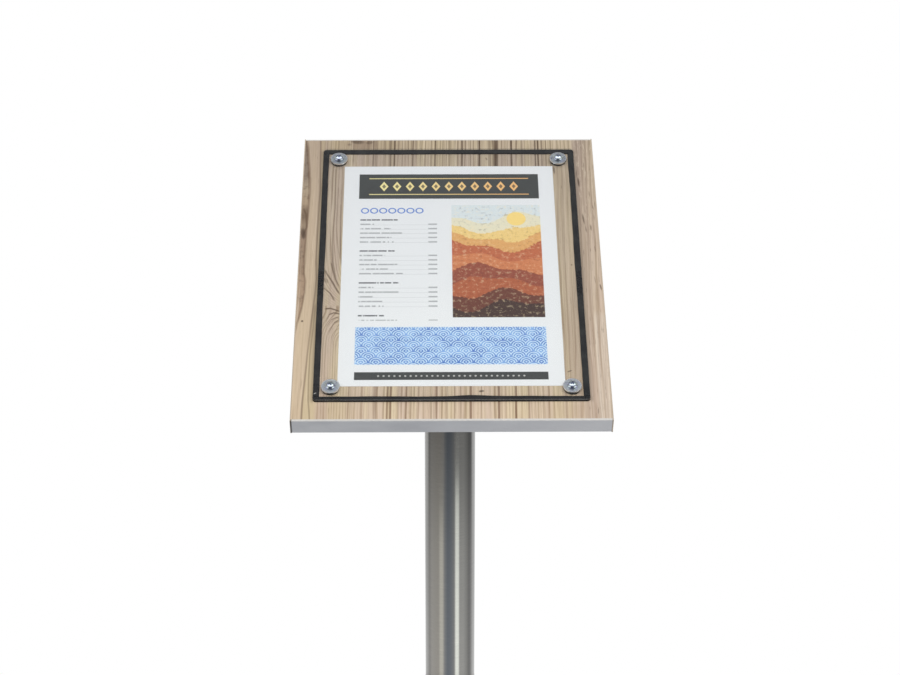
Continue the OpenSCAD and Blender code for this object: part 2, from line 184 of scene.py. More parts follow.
class Graph:
    """Node graph of one material or of the world."""

    def __init__(self, owner):
        owner.use_nodes = True
        self.owner = owner
        self.tree = owner.node_tree
        self.tree.nodes.clear()

    def node(self, kind, inputs=None, output=0, **settings):
        """New node, fed with wires and plain values; one of its outputs comes back as a wire."""
        made = self.tree.nodes.new("ShaderNode" + kind)
        for name, value in settings.items():
            setattr(made, name, value)
        for key, value in (inputs or {}).items():
            if isinstance(value, Wire):
                self.tree.links.new(value.socket, made.inputs[key])
            else:
                made.inputs[key].default_value = value
        return Wire(self, made.outputs[output]) if len(made.outputs) else None

    def outputs(self, wire, *keys):
        """Several outputs of the node that a wire comes from."""
        return [Wire(self, wire.socket.node.outputs[key]) for key in keys]

    def math(self, kind, a, b=None, clamp=False):
        inputs = {0: a} if b is None else {0: a, 1: b}
        return self.node("Math", inputs, operation=kind, use_clamp=clamp)

    def most(self, a, b):
        return self.math("MAXIMUM", a, b)

    def size(self, a):
        return self.math("ABSOLUTE", a)

    def length(self, a, b):
        """Distance across a and up b."""
        return self.math("SQRT", a * a + b * b)

    def vector(self, x, y, z):
        return self.node("CombineXYZ", {0: x, 1: y, 2: z})

    def parts(self, vector):
        return self.outputs(self.node("SeparateXYZ", {0: vector}), 0, 1, 2)

    def rise(self, x, low, high):
        """0 below low and 1 above high, smooth between them; high may be the lower one."""
        return self.node("MapRange", {0: x, 1: low, 2: high}, interpolation_type="SMOOTHSTEP")

    def band(self, x, low, low_top, high_top, high):
        """1 between low_top and high_top, 0 outside low and high."""
        return self.rise(x, low, low_top) * self.rise(x, high, high_top)

    def spread(self, x, low, high, to_low, to_high):
        """Straight change from to_low at low to to_high at high."""
        return self.node("MapRange", {0: x, 1: low, 2: high, 3: to_low, 4: to_high})

    def vary(self, noise, low, high):
        """Value from low to high, by a noise."""
        return self.spread(noise, 0.3, 0.7, low, high)

    def mix(self, share, a, b, blend="MIX"):
        return self.node("Mix", {0: share, 6: a, 7: b}, output=2, data_type="RGBA", blend_type=blend)

    def patchy(self, noise, a, b):
        """Colour from a to b, by a noise."""
        return self.mix(self.spread(noise, 0.35, 0.65, 0, 1), a, b)

    def ramp(self, x, stops, interpolation="LINEAR"):
        made = self.node("ValToRGB", {0: x})
        band = made.socket.node.color_ramp
        band.interpolation = interpolation
        while len(band.elements) < len(stops):
            band.elements.new(1)
        for element, (place, colour) in zip(band.elements, stops):
            element.position = place
            element.color = colour
        return made

    def profile(self, x, points):
        """Straight runs between points, given as (x, value) from low x to high x."""
        low = min(value for _, value in points)
        high = max(value for _, value in points)
        first, last = points[0][0], points[-1][0]
        made = self.node("FloatCurve", {"Value": (x - first) / (last - first)})
        mapping = made.socket.node.mapping
        line = mapping.curves[0].points
        places = [((place - first) / (last - first), (value - low) / (high - low)) for place, value in points]
        line[0].location = places[0]
        line[1].location = places[-1]
        for place in places[1:-1]:
            line.new(*place)
        for point in line:
            point.handle_type = "VECTOR"
        mapping.update()
        return made * (high - low) + low

    def noise(self, x, y, z, detail=3, roughness=0.5):
        place = self.vector(x, y, z)
        return self.node("TexNoise", {"Vector": place, "Scale": 1, "Detail": detail, "Roughness": roughness})

    def speckle(self, place, scale, detail=3, roughness=0.5):
        """Noise of the same scale in every direction."""
        return self.noise(*[part * scale for part in place], detail, roughness)

    def cells(self, vector, feature="F1", output="Distance"):
        return self.node("TexVoronoi", {"Vector": vector, "Scale": 1}, output, feature=feature)

    def draw(self, seed):
        """Value from 0 to 1, drawn by a whole number."""
        return self.node("TexWhiteNoise", {"W": seed}, noise_dimensions="1D")

    def part_place(self):
        """Place in the part's own frame, in metres."""
        return self.parts(self.node("TexCoord", output="Object"))

    def board_place(self):
        """Place across the board, up its slope and out of its face, in metres."""
        place = self.node("TexCoord", output="Object")
        turn = {"Vector": place, "Location": BOARD_CENTRE, "Rotation": (BOARD_TILT, 0, 0)}
        return self.parts(self.node("Mapping", turn, vector_type="TEXTURE"))

    def board_place_mm(self):
        """The same in millimetres."""
        return [part / MM for part in self.board_place()]

    def bump(self, height, distance, strength):
        return self.node("Bump", {"Height": height, "Distance": distance, "Strength": strength})

    def principled(self, colour, rough, metal=0, specular=0.5, **more):
        named = {"Base Color": colour, "Roughness": rough, "Metallic": metal, "Specular IOR Level": specular}
        return self.node("BsdfPrincipled", {**named, **more})

    def finish(self, shader, kind="Material"):
        self.node("Output" + kind, {0: shader})
        return self.owner

    def surface(self, colour, rough, normal, metal=0, specular=0.5):
        """Material with one Principled shader."""
        return self.finish(self.principled(colour, rough, metal, specular, Normal=normal))


def new_graph(name):
    return Graph(bpy.data.materials.new(name))


def mark_mask(g, u, v, mark):
    """Depth of a long or round mark, full at its centre and gone at its outline; in millimetres."""
    cu, cv, half_u, half_v, turn, depth = mark
    c, s = math.cos(math.radians(turn)), math.sin(math.radians(turn))
    du, dv = u - cu, v - cv
    a = (du * c + dv * s) / half_u
    b = (dv * c - du * s) / half_v
    return g.rise(a * a + b * b, 1.2, 0.1) * depth


def from_screw(g, u, v):
    """Distance from the axis of the nearest cover screw, in millimetres."""
    return g.length(g.size(u) - SCREW_U, g.size(v - COVER_RISE / MM) - SCREW_V)


# Wood print of the face

def line_depth(u, place, half, depth):
    """Depth of one grain line at a place across the board; its left flank is the softer one."""
    left_foot, left_top, right_top, right_foot = LINE_CORNERS
    off = (u - place) / half
    return depth * max(0, min(
        1, (off - left_foot) / (left_top - left_foot), (right_foot - off) / (right_foot - right_top)))


def line_curve(g, u, lines, start, end):
    """Depth of the grain lines between two places across the board, as one curve."""
    corners = {round(place + corner * half, 3) for place, half, _ in lines for corner in LINE_CORNERS}
    points = [(c, max(line_depth(c, *line) for line in lines)) for c in sorted(corners) if start < c < end]
    return g.profile(u, [(start, 0), *points, (end, 0)])


def grain_lines(g, u, lines):
    """Dark grain lines, shared out over several curves to keep each fine enough."""
    share = BOARD_W / MM / LINE_CURVES
    starts = (part * share - BOARD_W / MM / 2 for part in range(LINE_CURVES))
    return reduce(g.most, (line_curve(g, u, lines, start, start + share) for start in starts))


def side_line(g, u, v, half, depth, path):
    """Line along a path up the board, which fades out at both ends."""
    off = g.size(u - g.profile(v, path))
    fade = min(5, (path[-1][0] - path[0][0]) / 6)
    ends = g.band(v, path[0][0] - 0.5, path[0][0] + fade, path[-1][0] - fade, path[-1][0] + 0.5)
    return g.rise(off, half * 1.7, half * 0.4) * ends * depth


def year_rings(g, ring, v, pitch, seed):
    """Late wood of each year: it darkens slowly and ends sharply, more in some years than in others."""
    sway = g.noise(ring / (pitch * 4.5), v / 320, seed, 2) * 3.2
    age = ring / pitch + sway
    year = g.math("FRACT", age)
    strength = g.spread(g.draw(g.math("FLOOR", age) + seed), 0, 1, 0.25, 1)
    fade = g.spread(g.noise(ring / 5, v / 60, seed + 3, 2), 0.3, 0.65, 0.45, 1)
    return g.band(year, 0.4, 0.8, 0.88, 1) * strength * fade


class WoodPrint:
    """Weathered-wood print, laid down layer by layer."""

    def __init__(self, g):
        self.g = g
        self.u, self.v, _ = g.board_place_mm()
        u, v = self.u, self.v
        # The grain runs up the slope, leans a little to the right and wavers
        wide = g.noise(u / 110, v / 310, 1.3, 2) - 0.5
        self.ripple = g.noise(u / 16, v / 70, 5.1, 2) - 0.5
        self.drift = u - v * GRAIN_LEAN + wide * 6 + self.ripple * 1.6
        self.hue = self.threads(13, 420, 2.7)
        self.fine = self.threads(1.5, 120, 4.4, 3, 0.65)
        self.fibre = self.threads(0.7, 22, 9.2, 2)
        self.broken = g.spread(self.threads(9, 38, 3.3, 2, 0.5), 0.3, 0.6, 0.8, 1)
        self.ragged = g.noise(u / 9, v / 7, 6.6, 4, 0.65) - 0.5
        self.fresh = g.profile(v, FRESH)
        # Calm sapwood left of the seal, and the light band along the top edge
        self.calm = g.rise(u, -122, -126)
        self.top_edge = g.rise(v, 169, 174) * g.rise(g.size(u), 128, 120)

    def threads(self, across, along, seed, detail=3, roughness=0.6):
        """Noise drawn out along the grain, by its scales in millimetres."""
        return self.g.noise(self.drift / across, self.v / along, seed, detail, roughness)

    def by_age(self, grey, fresh):
        """Colour between a grey and a fresh tone, by place up the slope."""
        return self.g.mix(self.fresh, tone(*grey), tone(*fresh))

    def paint(self, share, colour):
        """Lay a colour over what is there."""
        self.colour = self.g.mix(share, self.colour, colour)

    def streaks(self):
        """Broad streaks of even brightness, pink to yellow, and lighter and darker bands."""
        g = self.g
        broad = self.threads(26, 520, 7.9)
        yellow = self.by_age((186, 170, 145), (216, 198, 166))
        pink = self.by_age((181, 164, 149), (211, 190, 169))
        self.colour = g.mix(g.rise(self.hue, 0.36, 0.64), yellow, pink)
        self.paint(g.rise(broad, 0.52, 0.74) * 0.38, self.by_age((146, 128, 108), (182, 155, 127)))
        self.paint(g.rise(broad, 0.46, 0.28) * 0.45, self.by_age((203, 187, 160), (232, 213, 182)))

    def zones(self):
        """Zones with a tone of their own: strip ends, top left, top edge, right of the sheet."""
        g, u, v = self.g, self.u, self.v
        ends = g.rise(v, -165, -175) * g.rise(g.size(u), 50, 120)
        self.paint(ends * 0.28, tone(150, 128, 104))
        top_left = g.rise(v, 168, 176) * g.band(u, -126, -118, -60, -20)
        self.paint(top_left * 0.38, tone(132, 112, 84))
        self.paint(self.top_edge * 0.3, tone(204, 188, 150))
        right_in = g.band(u, 98, 106, 120, 124) * g.band(v, -165, -155, 160, 170)
        self.paint(right_in * (g.rise(v, 10, -60) * 0.18 + 0.14), tone(148, 130, 108))
        # Tan sapwood left of the seal, heartwood right of it and a light streak outside that
        self.paint(self.calm * 0.75, self.by_age((174, 156, 137), (204, 183, 153)))
        right = u - v * GRAIN_LEAN + self.ripple * 2
        heart = g.band(right, 122, 126, 136, 138.5)
        self.paint(heart * 0.6, self.by_age((160, 143, 130), (184, 165, 150)))
        pale = g.rise(v, -50, -64) * 0.85 + g.rise(v, 70, 10) * g.rise(right, 141, 139) * 0.25
        streak = g.rise(right, 136, 138) * pale
        self.paint(streak * 0.8, g.mix(g.rise(self.hue, 0.4, 0.6), tone(222, 208, 188), tone(206, 192, 176)))

    def late_wood(self):
        """Year rings; left of the sheet they pass the hidden knot above and arch below it."""
        g, u, v = self.g, self.u, self.v
        below = g.rise(v, -44, -48)
        swing = g.math("EXPONENT", (v - KNOT_V) / -25) * 40
        past = u - g.math("MINIMUM", swing, 45) + self.ripple * 2.5
        arch = g.length(u - KNOT_U + self.ripple * 2.5, g.rise(v, -102, KNOT_V) * 20)
        upper = year_rings(g, past, v, 3.6, 4)
        lower = year_rings(g, arch, v, 2.6, 6)
        near_arch = g.band(v, -100, -80, -48, -30)
        knotty = (upper * (1 - below) + lower * below) * (1.1 + near_arch * 0.15)
        plain = g.most(year_rings(g, self.drift, v, 4.1, 2), year_rings(g, self.drift, v, 2.1, 9) * 0.55)
        by_knot = g.rise(g.size(u + 109), 17.5, 13.5) * g.rise(v, 158, 150)
        rings = plain * (1 - by_knot) + g.most(knotty, plain * 0.3) * by_knot
        self.late = rings * (1 - self.calm * 0.8)
        self.paint(self.late * (self.top_edge * 0.16 + 0.66), self.by_age((94, 76, 60), (142, 111, 84)))

    def dark_lines(self):
        """Darkest lines above and below the sheet, and light wood beside the first side line."""
        g, u, v = self.g, self.u, self.v
        over = g.rise(v, -20, 20)
        lines = (grain_lines(g, u - (v - 180) * GRAIN_LEAN + self.ripple * 1.3, TOP_LINES) * over
                 + grain_lines(g, u - (v + 178) * GRAIN_LEAN + self.ripple * 1.3, LOW_LINES) * (1 - over))
        self.lines = lines * g.rise(g.size(u + 113), 8, 14)
        self.paint(self.lines * self.broken, self.by_age((80, 62, 47), (124, 96, 74)))
        beside = g.rise(u - g.profile(v, SIDE_LINES[0][2]), 0.2, 1.2) * g.rise(u, -124, -127)
        self.paint(beside * 0.5, self.by_age((172, 156, 126), (198, 182, 144)))

    def waney_strip(self):
        """Bark down the left edge: its tone changes along it, and a dark ragged line borders it."""
        g, v, ragged = self.g, self.v, self.ragged
        off = self.u - g.profile(v, WANE_BORDER) + ragged * 1.6
        bark = g.ramp((v - BARK_LOW) / (BARK_HIGH - BARK_LOW), [(place, tone(*rgb)) for place, rgb in BARK])
        bark = g.mix(g.rise(ragged, 0.02, 0.14) * 0.4, bark, tone(80, 68, 58))
        bark = g.mix(g.rise(ragged, -0.08, -0.2) * g.rise(v, 90, 120) * 0.5, bark, tone(168, 152, 132))
        self.paint(g.rise(off, 0.4, -0.3) * 0.9, bark)
        breadth = g.spread(v, 80, 120, 1.5, 2.3)
        rim = g.rise(g.size(off) / breadth, 1, 0.3) * g.rise(v, -92, -80)
        self.paint(rim * g.spread(ragged, -0.15, 0.15, 0.6, 1) * 0.7, tone(106, 84, 66))

    def side_lines(self):
        """Lines at the sides and the arches below the knot."""
        g, u, v = self.g, self.u, self.v
        paths = reduce(g.most, (side_line(g, u + self.ripple * 0.8, v, *line) for line in SIDE_LINES))
        arches = reduce(g.most, (side_line(g, v + self.ripple * 0.8, u, *line) for line in ARCH_LINES))
        self.paint(g.most(paths, arches) * self.broken, tone(100, 81, 64))

    def blemishes(self):
        """Knots, nail hole and checks, then pores and pale flecks, thickest at the right edge."""
        g, u, v = self.g, self.u, self.v
        marks = reduce(g.most, (mark_mask(g, u + self.ripple * 0.8, v, mark) for mark in GRAIN_MARKS))
        self.marks = marks * g.spread(self.fine, 0.3, 0.6, 1, 0.75)
        at_edge = g.rise(u, 122, 130)
        pores = g.rise(g.noise(u / 0.9, v / 17, 8.8, 3, 0.6), 0.6, 0.74) * (at_edge * 0.5 + 0.25)
        flecks = g.rise(g.noise(u / 1.1, v / 7, 12.5, 3, 0.6), 0.56, 0.68) * at_edge
        self.paint(mark_mask(g, u, v, KNOT_HALO), tone(132, 112, 98))
        self.paint(flecks * g.rise(v, 40, 90) * 0.5, tone(212, 198, 176))
        self.paint(g.most(self.marks, pores), tone(76, 60, 48))
        # Fine light and dark threads over everything
        self.paint(g.rise(self.fine, 0.54, 0.74) * 0.36, tone(114, 96, 77))
        self.paint(g.rise(self.fine, 0.44, 0.26) * 0.36, tone(238, 225, 202))
        self.paint(g.vary(self.fibre, 0, 0.12), tone(134, 118, 99))

    def seal_shade_and_screw_discs(self):
        """Painted shade on the wood beside the seal's left and right strips, and a near-black disc round each
        cover screw, wider than its spacer, whose edge shows below the washer.
        """
        g, u, v = self.g, self.u, self.v
        beyond = g.size(u) - COVER_W / MM / 2
        half_h = COVER_H / MM / 2
        within = g.rise(g.size(v - COVER_RISE / MM), half_h + 3, half_h - 3)
        # Painted shade: the wood darkens beside the left and right strips of the seal
        seal_shade = g.band(beyond, -0.5, 0, 0, 5.5) * within
        self.paint(seal_shade * 0.34, tone(88, 78, 70))
        # Near-black disc round each cover screw, wider than its spacer, whose edge shows below the washer
        ring = from_screw(g, u, v) + self.ragged * 1.2
        self.paint(g.rise(ring, SCREW_DISC_R + 0.6, SCREW_DISC_R - 0.4) * 0.92, tone(40, 38, 36))


def wood_decor():
    g = new_graph("wood_decor")
    wood = WoodPrint(g)
    for layer in (wood.streaks, wood.zones, wood.late_wood, wood.dark_lines, wood.waney_strip,
                  wood.side_lines, wood.blemishes, wood.seal_shade_and_screw_discs):
        layer()
    pressed = g.most(wood.lines * 0.7, wood.late) * -1 + wood.fibre * 0.25 - wood.marks
    normal = g.bump(pressed, 0.12 * MM, 0.5)
    return g.surface(wood.colour, g.vary(wood.fibre, 0.5, 0.64), normal, specular=0.3)


# Other finishes

def edging(name, joint=0):
    """Grey plastic edging: a painted highlight along its arrises, partly the pale of scraped plastic, painted
    light towards its right end, and dark glue joints at its ends, joint deep.
    """
    g = new_graph(name)
    u, v, n = g.board_place()
    cloud = g.noise(u * 25, v * 25, n * 60)
    colour = g.patchy(cloud, tone(177, 179, 184), tone(189, 191, 195))
    # Painted light: the band is lighter towards its right end
    colour = g.mix(g.rise(u, -0.05, 0.12) * 0.45, colour, tone(208, 209, 212))
    # Painted highlight along the top arris, weaker along the low one, partly scraped plastic
    low_arris_highlight = g.rise(n, -BOARD_T + 1.2 * MM, -BOARD_T + 0.4 * MM)
    arris = g.most(g.rise(n, -1.1 * MM, -0.4 * MM), low_arris_highlight * 0.3)
    scraped_and_highlight = arris * g.vary(g.noise(u * 300, v * 300, 1, 2), 0.55, 0.95)
    colour = g.mix(scraped_and_highlight, colour, tone(206, 202, 194))
    if joint:
        end = BOARD_W / 2 - SIDE_BAND_T
        left = g.rise(u * -1, end - 1 * MM, end - 0.3 * MM)
        right = g.rise(u, end - 0.5 * MM, end - 0.1 * MM) * 0.4
        colour = g.mix(g.most(left, right) * joint, colour, tone(70, 70, 72))
    peel = g.speckle((u, v, n), 1400, 2)
    return g.surface(colour, g.vary(cloud, 0.38, 0.5), g.bump(peel, 0.03 * MM, 0.6))


def wood_edging():
    """Wood-coloured edging of the sides, with dark end grain where the front shows it, and a painted
    highlight along its top arris.
    """
    g = new_graph("edging_wood")
    u, v, n = g.board_place_mm()
    vein = g.noise(n / 1.3, v / 140, u * 0.01, 4, 0.6)
    broad = g.noise(n / 7, v / 260, 4, 2)
    colour = g.mix(g.rise(broad, 0.35, 0.65), tone(160, 143, 124), tone(182, 165, 144))
    colour = g.mix(g.rise(vein, 0.52, 0.68) * 0.55, colour, tone(116, 96, 78))
    low_end = g.rise(v, -188.2, -189.2) * g.rise(u, 0, -1)
    colour = g.mix(low_end * 0.9, colour, tone(70, 64, 58))
    # Painted highlight along the top arris
    colour = g.mix(g.rise(n, -0.7, -0.2) * 0.35, colour, tone(205, 190, 168))
    return g.surface(colour, g.vary(vein, 0.44, 0.6), g.bump(vein, 0.05 * MM, 0.6))


def rubber(name, nick=None):
    """Black rubber, dusty in its pores; nick is a pale scuff."""
    g = new_graph(name)
    u, v, n = g.board_place()
    cloud = g.noise(u * 60, v * 60, n * 90, 4, 0.6)
    grit = g.speckle((u, v, n), 1900, 2)
    colour = g.patchy(cloud, tone(28, 28, 29), tone(44, 44, 43))
    colour = g.mix(g.rise(grit, 0.62, 0.74) * 0.35, colour, tone(92, 90, 86))
    if nick:
        colour = g.mix(mark_mask(g, u / MM, v / MM, nick), colour, tone(205, 203, 198))
    return g.surface(colour, g.vary(grit, 0.52, 0.74), g.bump(grit + cloud, 0.06 * MM, 0.7), specular=0.25)


def clear_acrylic():
    """Clear sheet: frosted sawn edges painted dark grey as a reflection of the black seal, a painted
    highlight along the arris of its low edge, and a few hairline scratches.
    """
    g = new_graph("clear_acrylic")
    u, v, n = g.board_place()
    half_w, half_h = COVER_W / 2, COVER_H / 2
    rub = g.noise((u + v) * 26, (u - v) * 700, 2, 3)
    hairline = g.rise(rub, 0.72, 0.8) * 0.1
    smear = g.noise(u * 22, v * 16, 4, 4, 0.6)
    smooth = g.spread(smear, 0.3, 0.75, 0.02, 0.07)
    edge = g.most(g.rise(g.size(u), half_w - 0.25 * MM, half_w - 0.05 * MM),
                  g.rise(g.size(v - COVER_RISE), half_h - 0.25 * MM, half_h - 0.05 * MM))
    low_edge = COVER_RISE - half_h
    # Painted highlight along the front arris of the low edge
    low_arris_highlight = g.rise(n, 2.55 * MM, 2.85 * MM) * g.rise(v, low_edge + 0.5 * MM, low_edge)
    front = 1 - g.node("NewGeometry", output="Backfacing")
    mirror = g.node("Fresnel", {"IOR": ACRYLIC_IOR}) * front * 1.2
    solid = g.math("ADD", mirror + hairline * 0.3, edge * 0.16 + low_arris_highlight * 0.3, clamp=True)
    clear = g.node("BsdfTransparent", {"Color": (0.985, 0.99, 0.99, 1)})
    # Edge faces painted dark grey, a painted reflection of the black seal; light grey at the low arris, a
    # painted highlight
    skin = g.principled(g.mix(low_arris_highlight, tone(70, 72, 72), tone(170, 172, 170)), g.most(smooth, edge * 0.35))
    gloss = g.node("BsdfGlossy", {"Color": WHITE, "Roughness": smooth})
    shown = g.node("MixShader", {0: edge, 1: gloss, 2: skin})
    return g.finish(g.node("MixShader", {0: solid, 1: clear, 2: shown}))


def zinc_skin(g, dull=0):
    """Colour, roughness and fine relief of passivated zinc."""
    place = g.part_place()
    cloud = g.speckle(place, 260)
    stain = g.speckle(place, 520, 3, 0.6)
    grain = g.speckle(place, 2600, 2)
    colour = g.mix(g.rise(cloud, 0.42, 0.58), (0.62, 0.66, 0.79, 1), (0.76, 0.86, 0.83, 1))
    colour = g.mix(g.rise(stain, 0.58, 0.74) * 0.6, colour, (0.92, 0.92, 0.89, 1))
    return colour, g.vary(stain, 0.16 + dull, 0.28 + dull), g.bump(grain + stain, 0.02 * MM, 0.6)


def zinc_steel():
    """Screws out of sight, the same all over."""
    g = new_graph("zinc_steel")
    colour, rough, normal = zinc_skin(g)
    return g.surface(colour, rough, normal, metal=1)


def zinc_washers():
    """Stamped washers: duller and paler, with a painted highlight round the rim, partly the bright stamped
    edge, and painted shade round the head.
    """
    g = new_graph("zinc_washer")
    u, v, _ = g.board_place_mm()
    colour, rough, normal = zinc_skin(g, dull=0.1)
    reach = from_screw(g, u, v)
    colour = g.mix(0.45, colour, (0.9, 0.94, 0.98, 1))
    # Painted highlight round the rim, partly the bright stamped edge
    rim = g.rise(reach, WASHER_R - 1.3, WASHER_R - 0.5)
    colour = g.mix(rim * 0.8, colour, (0.96, 0.97, 0.98, 1))
    # Painted shade round the foot of the head
    foot = g.rise(reach, HEAD_R + 1.6, HEAD_R + 0.2)
    colour = g.mix(foot * 0.15, colour, (0.34, 0.36, 0.4, 1))
    metal = g.spread(v, -100, 100, 0.9, 0.97)
    return g.surface(colour, rough, normal, metal=metal)


def zinc_heads():
    """Screws of the cover: painted dark blue shade round the wall of the head, and painted shade in the cross
    recess.
    """
    g = new_graph("zinc_heads")
    u, v, n = g.board_place_mm()
    colour, rough, normal = zinc_skin(g)
    reach = from_screw(g, u, v)
    dome = g.math("SQRT", DOME_R * DOME_R - reach * reach) + (HEAD_TOP - DOME_R)
    # Painted shade in the cross recess
    recess_shade = g.rise(dome - n, 0.2, 0.45) * g.rise(reach, 3, 2.6)
    # Painted dark blue shade round the wall of the head
    wall_shade = g.rise(n, 5.8, 5.3)
    colour = g.mix(wall_shade * 0.75, colour, (0.16, 0.17, 0.24, 1))
    colour = g.mix(recess_shade * 0.12, colour, (0.1, 0.11, 0.15, 1))
    return g.surface(colour, g.most(rough, recess_shade * 0.5), normal, metal=1)


def bearing(g, x, y):
    """Direction round the post in radians, 0 towards the camera and growing to its right."""
    return g.math("ARCTAN2", x, y * -1)


def brushed_tube():
    """Stainless tube, polished round its girth, with scratches and dust at its foot."""
    g = new_graph("stainless_tube")
    x, y, z = g.part_place()
    turn = bearing(g, x, y)
    rings = g.noise(turn * 1.5, 3, z * 2300, 3, 0.65)
    lap = g.noise(turn * 0.8, 5, z * 60)
    scratch = g.rise(g.noise(turn * 24, z * 9, 6, 3, 0.7), 0.7, 0.8)
    smear = g.noise(x * 18, y * 18, z * 9, 4, 0.6)
    colour = g.mix(g.vary(rings, 0, 1), STEEL, (0.6, 0.595, 0.58, 1))
    colour = g.mix(scratch * 0.5, colour, (0.72, 0.72, 0.72, 1))
    dust = g.rise(z, 0.1, BASE_TOP) * g.rise(smear, 0.4, 0.7) * 0.25
    colour = g.mix(dust, colour, (0.35, 0.33, 0.3, 1))
    rough = g.spread(lap + smear, 0.7, 1.3, 0.05, 0.09) + dust * 0.4
    normal = g.bump(rings + scratch * 0.5, 0.0015 * MM, 0.8)
    return g.surface(colour, rough, normal, metal=1)


def brushed_plate(name, board=False):
    """Stainless plate, brushed along x; board is for one in the board's plane."""
    g = new_graph(name)
    x, y, z = g.board_place() if board else g.part_place()
    lines = g.noise(x * 14, y * 1700, z * 1700, 3, 0.65)
    lap = g.noise(x * 5, y * 50, z * 50)
    smear = g.speckle((x, y, z), 16, 4, 0.6)
    fleck = g.rise(g.speckle((x, y, z), 900, 2), 0.7, 0.78)
    colour = g.mix(g.vary(lines, 0, 1), STEEL, (0.62, 0.615, 0.6, 1))
    colour = g.mix(fleck * 0.35, colour, (0.3, 0.29, 0.27, 1))
    rough = g.spread(lap + smear, 0.7, 1.3, 0.3, 0.44)
    return g.surface(colour, rough, g.bump(lines, 0.015 * MM, 0.8), metal=1)


def weld_bead():
    """Weld as laid: bright crowns, straw and blue tints, sooty pits."""
    g = new_graph("weld_bead")
    x, y, z = g.part_place()
    ripple = g.noise(bearing(g, x, y) * 22, z * 60, 2, 3, 0.6)
    heat = g.noise(x * 90, y * 90, z * 220)
    colour = g.ramp(heat, [
        (0.32, (0.26, 0.29, 0.38, 1)), (0.44, (0.42, 0.36, 0.32, 1)),
        (0.54, (0.6, 0.52, 0.38, 1)), (0.66, (0.62, 0.61, 0.59, 1))])
    pits = g.rise(g.speckle((x, y, z), 700), 0.62, 0.74)
    colour = g.mix(pits * 0.7, colour, (0.1, 0.09, 0.08, 1))
    return g.surface(colour, g.vary(ripple, 0.26, 0.46), g.bump(ripple - pits, 0.25 * MM, 0.7), metal=1)


def backing_laminate():
    """Pale backing: fine press texture and a few rub marks."""
    g = new_graph("backing_laminate")
    u, v, _ = g.board_place()
    cloud = g.noise(u * 12, v * 12, 1, 4, 0.6)
    press = g.noise(u * 1500, v * 1500, 2, 2)
    rub = g.rise(g.noise(u * 9, v * 190, 3, 3, 0.7), 0.66, 0.76)
    colour = g.patchy(cloud, tone(196, 193, 186), tone(207, 204, 198))
    colour = g.mix(rub * 0.35, colour, tone(168, 165, 158))
    colour = g.mix(g.rise(press, 0.6, 0.72) * 0.2, colour, tone(150, 147, 141))
    return g.surface(colour, g.vary(cloud, 0.46, 0.6), g.bump(press, 0.03 * MM, 0.6))


def chipboard():
    """Pressed wood chips of the core."""
    g = new_graph("chipboard")
    u, v, n = g.board_place()
    place = g.vector(u * 420, v * 300, n * 900)
    tint = g.parts(g.cells(place, output="Color"))[0]
    dark = g.rise(g.cells(place, "DISTANCE_TO_EDGE"), 0.1, 0.02)
    colour = g.mix(tint, tone(190, 156, 112), tone(222, 194, 152))
    colour = g.mix(dark * 0.6, colour, tone(128, 98, 66))
    return g.surface(colour, g.spread(tint, 0, 1, 0.7, 0.9), g.bump(dark * -1, 0.2 * MM, 0.6))


def insert_brass():
    """Turned brass inserts with barbs round them."""
    g = new_graph("insert_brass")
    u, v, n = g.board_place()
    stain = g.speckle((u, v, n), 300)
    barbs = g.math("SINE", n * 5200)
    colour = g.patchy(stain, (0.72, 0.52, 0.22, 1), (0.6, 0.4, 0.18, 1))
    return g.surface(colour, g.vary(stain, 0.25, 0.4), g.bump(barbs, 0.2 * MM, 0.8), metal=1)


# Generic print of the sheet: places in millimetres from the board's centre

PRINT_SOFT = 0.35
PRINT_HALF_W = 90
BAND_LOW, BAND_HIGH, BAND_MIDDLE = 101, 137, 119
LOZENGE_PITCH = 13
RULE_RISE = 11.5
FOOT_LOW, FOOT_HIGH, FOOT_MIDDLE = -141, -131, -136
DOT_PITCH = 5
COLUMN_LEFT, COLUMN_RIGHT = -88, -12
CHAIN_V, CHAIN_PITCH, CHAIN_W, LINK_R = 84, 9, 63, 3.4
LIST_TOP, LIST_LOW, LIST_PITCH = 74, -66, 6.2
PANEL_LEFT, PANEL_RIGHT, PANEL_LOW, PANEL_HIGH = 2, 90, -62, 92
DISC_U, DISC_V, DISC_R = 66, 72, 9.5
WAVES_LOW, WAVES_HIGH = -122, -74
SCALLOP_PITCH = 14

# Bands of the dunes, from the panel's foot (0) to its top (1)
DUNES = (
    (0, (70, 50, 44)), (0.1, (110, 62, 48)), (0.2, (176, 96, 62)), (0.31, (150, 78, 58)),
    (0.42, (206, 128, 84)), (0.52, (190, 106, 70)), (0.62, (222, 168, 104)), (0.7, (236, 204, 132)),
    (0.78, (228, 222, 196)), (0.88, (216, 224, 226)),
)


def print_rect(g, u, v, left, right, low, high):
    """1 inside an upright rectangle."""
    across = (g.size(u - (left + right) / 2) - (right - left) / 2) / -PRINT_SOFT
    along = (g.size(v - (low + high) / 2) - (high - low) / 2) / -PRINT_SOFT
    return g.math("MINIMUM", across, 1, clamp=True) * g.math("MINIMUM", along, 1, clamp=True)


def print_gold(g, u, v):
    """Lozenges with a dark heart, between two fine rules."""
    along = g.math("FRACT", u / LOZENGE_PITCH + 0.5) - 0.5
    up = g.size(v - BAND_MIDDLE)
    lozenge = g.size(along) * LOZENGE_PITCH + up * 0.62
    heart = g.rise(lozenge, 2.2, 1.8)
    lozenges = g.rise(lozenge, 4.6, 4.1) * print_rect(g, u, v, -71.5, 71.5, 108, 130)
    rules = g.rise(g.size(up - RULE_RISE), 0.7, 0.4) * print_rect(g, u, v, -80, 80, 104, 134)
    return g.most(lozenges * (1 - heart * 0.8), rules)


